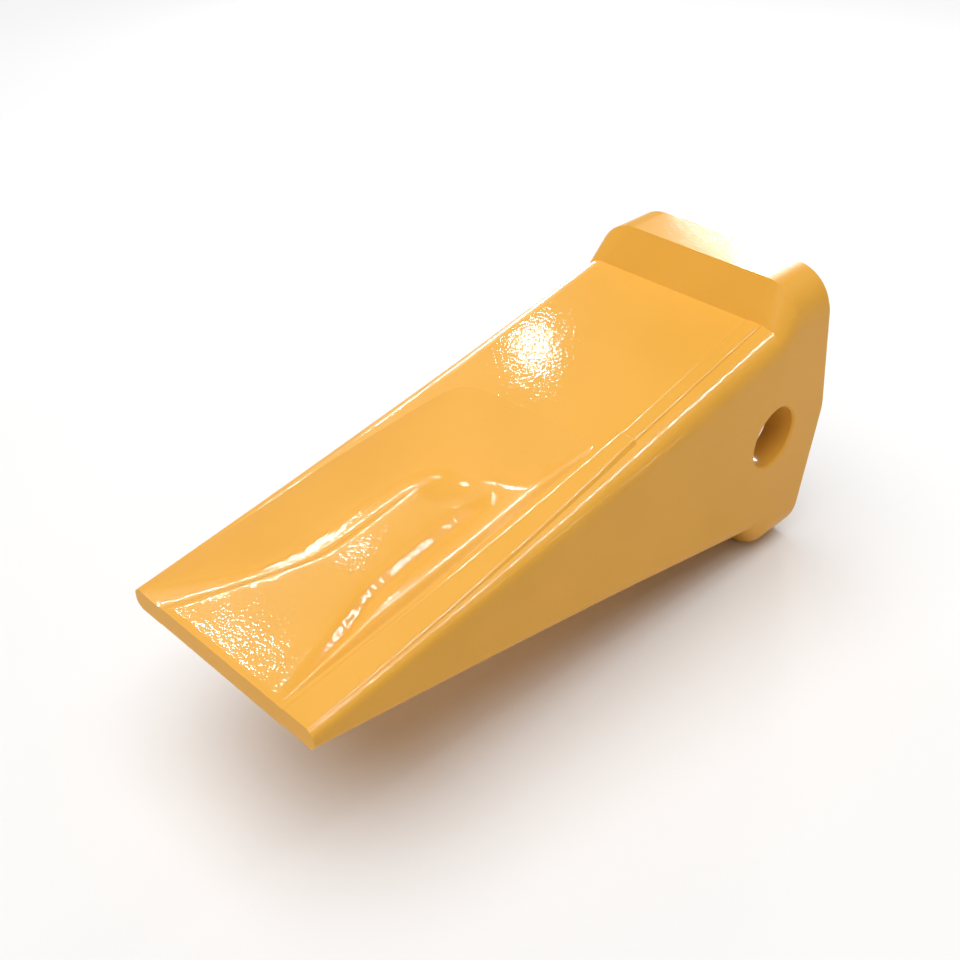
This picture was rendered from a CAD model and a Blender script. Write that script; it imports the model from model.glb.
"""Looks for the side-pinned excavator bucket tooth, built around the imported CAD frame.

Lengths are in metres, or in millimetres times MM.
"""
from math import pi, radians

import bpy
from mathutils import Matrix, Vector


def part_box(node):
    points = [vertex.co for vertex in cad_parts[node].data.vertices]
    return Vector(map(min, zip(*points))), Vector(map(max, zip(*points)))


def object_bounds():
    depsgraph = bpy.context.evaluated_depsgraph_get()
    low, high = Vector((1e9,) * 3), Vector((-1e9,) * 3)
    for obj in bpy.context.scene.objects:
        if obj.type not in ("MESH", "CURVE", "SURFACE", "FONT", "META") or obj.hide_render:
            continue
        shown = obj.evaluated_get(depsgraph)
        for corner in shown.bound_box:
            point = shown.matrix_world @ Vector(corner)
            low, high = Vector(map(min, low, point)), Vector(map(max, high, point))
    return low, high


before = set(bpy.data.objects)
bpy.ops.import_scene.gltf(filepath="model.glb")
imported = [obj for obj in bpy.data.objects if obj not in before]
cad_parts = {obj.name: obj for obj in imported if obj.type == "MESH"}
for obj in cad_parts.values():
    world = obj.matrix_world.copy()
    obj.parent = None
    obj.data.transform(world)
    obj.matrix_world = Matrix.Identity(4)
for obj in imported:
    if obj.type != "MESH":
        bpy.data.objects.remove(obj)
cad_low, cad_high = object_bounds()

MM = 0.001

# camera
SENSOR_WIDTH = 36.0            # millimetres
LENS = 47.28                   # millimetres
CLIP_START = 0.01
EYE_DISTANCE = 0.4805          # from the point it looks at
LOOK_AHEAD, LOOK_ASIDE, LOOK_UP = 6.6 * MM, -10.9 * MM, 2.2 * MM   # that point, from the tooth's middle

# studio
SURROUND_STRENGTH = 0.22
FLOOR_SIZE = 8.0
FLOOR_GAP = 0.5 * MM           # between the floor and the tooth
SUN_SPREAD = radians(70)
SUN_ENERGY = 2.9
SUN_TOWARDS = (0.18, -0.04, 1.0)
SOFTBOX_DISTANCE = 1.0
# softboxes: name, spot on the tooth in millimetres, normal there, width and height, radiance
SOFTBOXES = [
    ("box_facet", (253, 2, 5), (0.078, 0, 1), (0.045, 0.09), 140),
    ("box_panel", (88, -27, 36), (0.213, 0, 1), (0.05, 0.045), 118),
    ("box_collar", (-4, -6, 63.3), (0, 0, 1), (0.008, 0.12), 100),
    ("strip_edge", (150, 46, 24), (0.16, 0.47, 0.87), (0.9, 0.06), 125),
    ("strip_inner", (150, 34, 25), (0.16, -0.30, 0.94), (0.9, 0.035), 125),
    ("box_ends", (70, 38, 40), (-0.15, 0.05, 0.98), (0.25, 0.10), 140),
    ("strip_side", (150, 49, 20), (0.10, 0.83, 0.55), (0.9, 0.012), 30),
]

tooth_low, tooth_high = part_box("tooth_point")
tooth_centre = (tooth_low + tooth_high) / 2


# --- node helpers -----------------------------------------------------------------------------------
def new_material(name):
    """An empty node material with a Principled BSDF, returned as (material, nodes, link, shader)."""
    material = bpy.data.materials.new(name)
    material.use_nodes = True
    tree = material.node_tree
    tree.nodes.clear()
    output = tree.nodes.new("ShaderNodeOutputMaterial")
    shader = tree.nodes.new("ShaderNodeBsdfPrincipled")
    tree.links.new(shader.outputs["BSDF"], output.inputs["Surface"])
    return material, tree.nodes, tree.links.new, shader


def noise(nodes, link, coordinates, scale, detail):
    """A noise texture on the given coordinates."""
    texture = nodes.new("ShaderNodeTexNoise")
    texture.inputs["Scale"].default_value = scale
    texture.inputs["Detail"].default_value = detail
    link(coordinates, texture.inputs["Vector"])
    return texture.outputs["Fac"]


def ramp(nodes, link, factor, stops):
    """A colour ramp with (position, colour) stops."""
    node = nodes.new("ShaderNodeValToRGB")
    elements = node.color_ramp.elements
    while len(elements) < len(stops):
        elements.new(0.5)
    for element, (position, colour) in zip(elements, stops):
        element.position = position
        element.color = (*colour, 1.0)
    link(factor, node.inputs["Fac"])
    return node.outputs["Color"]


def bump(nodes, link, height, strength, distance):
    """A bump from a height; distance is in metres."""
    node = nodes.new("ShaderNodeBump")
    node.inputs["Strength"].default_value = strength
    node.inputs["Distance"].default_value = distance
    link(height, node.inputs["Height"])
    return node.outputs["Normal"]


def object_coordinates(nodes):
    """Coordinates fixed to the object, so that a pattern moves with it."""
    return nodes.new("ShaderNodeTexCoord").outputs["Object"]


# --- materials --------------------------------------------------------------------------------------
def enamel_paint():
    """Glossy orange-yellow enamel sprayed over a fine cast skin."""
    material, nodes, link, shader = new_material("enamel_paint")
    place = object_coordinates(nodes)
    drift = noise(nodes, link, place, 22.0, 3.0)
    colour = ramp(nodes, link, drift, [(0.35, (0.80, 0.395, 0.054)), (0.65, (0.835, 0.415, 0.061))])
    link(colour, shader.inputs["Base Color"])
    grain = noise(nodes, link, place, 620.0, 1.0)
    skin = bump(nodes, link, grain, 1.0, 0.045 * MM)
    link(skin, shader.inputs["Normal"])
    link(skin, shader.inputs["Coat Normal"])
    shader.inputs["Roughness"].default_value = 0.34
    shader.inputs["Specular IOR Level"].default_value = 0.04
    shader.inputs["Coat Weight"].default_value = 0.15
    shader.inputs["Coat Roughness"].default_value = 0.02
    return material


def turned_steel():
    """Hardened pin steel with faint turning rings round the pin's axis, which runs along Y."""
    material, nodes, link, shader = new_material("turned_steel")
    place = object_coordinates(nodes)
    rings = nodes.new("ShaderNodeTexWave")
    rings.wave_type = "BANDS"
    rings.bands_direction = "Y"
    rings.inputs["Scale"].default_value = 260.0
    rings.inputs["Distortion"].default_value = 1.2
    rings.inputs["Detail"].default_value = 2.0
    link(place, rings.inputs["Vector"])
    bloom = noise(nodes, link, place, 60.0, 4.0)
    colour = ramp(nodes, link, bloom, [(0.3, (0.20, 0.20, 0.21)), (0.7, (0.33, 0.33, 0.34))])
    link(colour, shader.inputs["Base Color"])
    shader.inputs["Metallic"].default_value = 1.0
    shader.inputs["Roughness"].default_value = 0.34
    link(bump(nodes, link, rings.outputs["Fac"], 0.25, 0.04 * MM), shader.inputs["Normal"])
    return material


def spring_steel():
    """Oil-blackened spring steel."""
    material, nodes, link, shader = new_material("blackened_spring_steel")
    place = object_coordinates(nodes)
    scale = noise(nodes, link, place, 140.0, 4.0)
    colour = ramp(nodes, link, scale, [(0.3, (0.055, 0.055, 0.06)), (0.7, (0.11, 0.105, 0.10))])
    link(colour, shader.inputs["Base Color"])
    shader.inputs["Metallic"].default_value = 0.9
    shader.inputs["Roughness"].default_value = 0.42
    link(bump(nodes, link, scale, 0.2, 0.08 * MM), shader.inputs["Normal"])
    return material


def floor_paint():
    """Nearly white matt floor."""
    material, nodes, link, shader = new_material("studio_floor")
    place = object_coordinates(nodes)
    drift = noise(nodes, link, place, 3.0, 2.0)
    shade = ramp(nodes, link, drift, [(0.3, (0.80, 0.80, 0.80)), (0.7, (0.82, 0.82, 0.82))])
    link(shade, shader.inputs["Base Color"])
    shader.inputs["Roughness"].default_value = 0.9
    return material


def wear(obj, material):
    """Gives an object one material in all its slots."""
    obj.data.materials.clear()
    obj.data.materials.append(material)


# --- camera -----------------------------------------------------------------------------------------
def camera():
    """The view down onto the tip and the +Y side, at equal angles to all three axes."""
    data = bpy.data.cameras.new("view")
    data.sensor_width = SENSOR_WIDTH
    data.lens = LENS
    data.clip_start = CLIP_START
    eye = bpy.data.objects.new("view", data)
    bpy.context.scene.collection.objects.link(eye)
    out = Vector((1, 1, 1)).normalized()
    target = Vector((tooth_centre.x + LOOK_AHEAD, LOOK_ASIDE, LOOK_UP))
    eye.location = target + out * EYE_DISTANCE
    eye.rotation_euler = (-out).to_track_quat("-Z", "Y").to_euler()
    bpy.context.scene.camera = eye
    return eye.location.copy()


# --- studio -----------------------------------------------------------------------------------------
def area_light(name, place, aim, size, radiance):
    """A rectangular softbox that only gives highlights, with its width in the XZ plane."""
    data = bpy.data.lights.new(name, "AREA")
    data.shape = "RECTANGLE"
    data.size, data.size_y = size
    data.energy = radiance * pi * size[0] * size[1]
    light = bpy.data.objects.new(name, data)
    bpy.context.scene.collection.objects.link(light)
    light.location = place
    towards = (Vector(place) - Vector(aim)).normalized()
    sideways = Vector((0, 1, 0)).cross(towards).normalized()
    upright = towards.cross(sideways)
    turn = Matrix((sideways, upright, towards)).transposed()
    light.rotation_euler = turn.to_euler()
    light.visible_diffuse = False


def softbox_mirrored_at(name, spot, normal, size, radiance):
    """A softbox placed where a face with this normal mirrors it to the camera from this spot."""
    spot = Vector(spot) * MM
    normal = Vector(normal).normalized()
    view = (eye - spot).normalized()
    towards = normal * (2 * normal.dot(view)) - view
    area_light(name, spot + towards * SOFTBOX_DISTANCE, spot, size, radiance)


def studio():
    """White surroundings, a floor under the tooth, one broad overhead sun and the softboxes."""
    world = bpy.data.worlds.new("studio")
    world.use_nodes = True
    background = world.node_tree.nodes["Background"]
    background.inputs["Color"].default_value = (1.0, 1.0, 1.0, 1.0)
    background.inputs["Strength"].default_value = SURROUND_STRENGTH
    bpy.context.scene.world = world

    floor_place = (tooth_centre.x, 0, cad_low.z - FLOOR_GAP)
    bpy.ops.mesh.primitive_plane_add(size=FLOOR_SIZE, location=floor_place)
    floor = bpy.context.object
    floor.name = "studio_floor"
    wear(floor, floor_paint())

    sun = bpy.data.lights.new("broad_sun", "SUN")
    sun.angle = SUN_SPREAD
    sun.energy = SUN_ENERGY
    sun_holder = bpy.data.objects.new("broad_sun", sun)
    bpy.context.scene.collection.objects.link(sun_holder)
    sun_holder.rotation_euler = Vector(SUN_TOWARDS).to_track_quat("Z", "Y").to_euler()

    for softbox in SOFTBOXES:
        softbox_mirrored_at(*softbox)


eye = camera()
studio()
wear(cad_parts["tooth_point"], enamel_paint())
wear(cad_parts["retaining_pin"], turned_steel())
wear(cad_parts["retainer_ring"], spring_steel())
bpy.context.scene.view_settings.view_transform = "Standard"
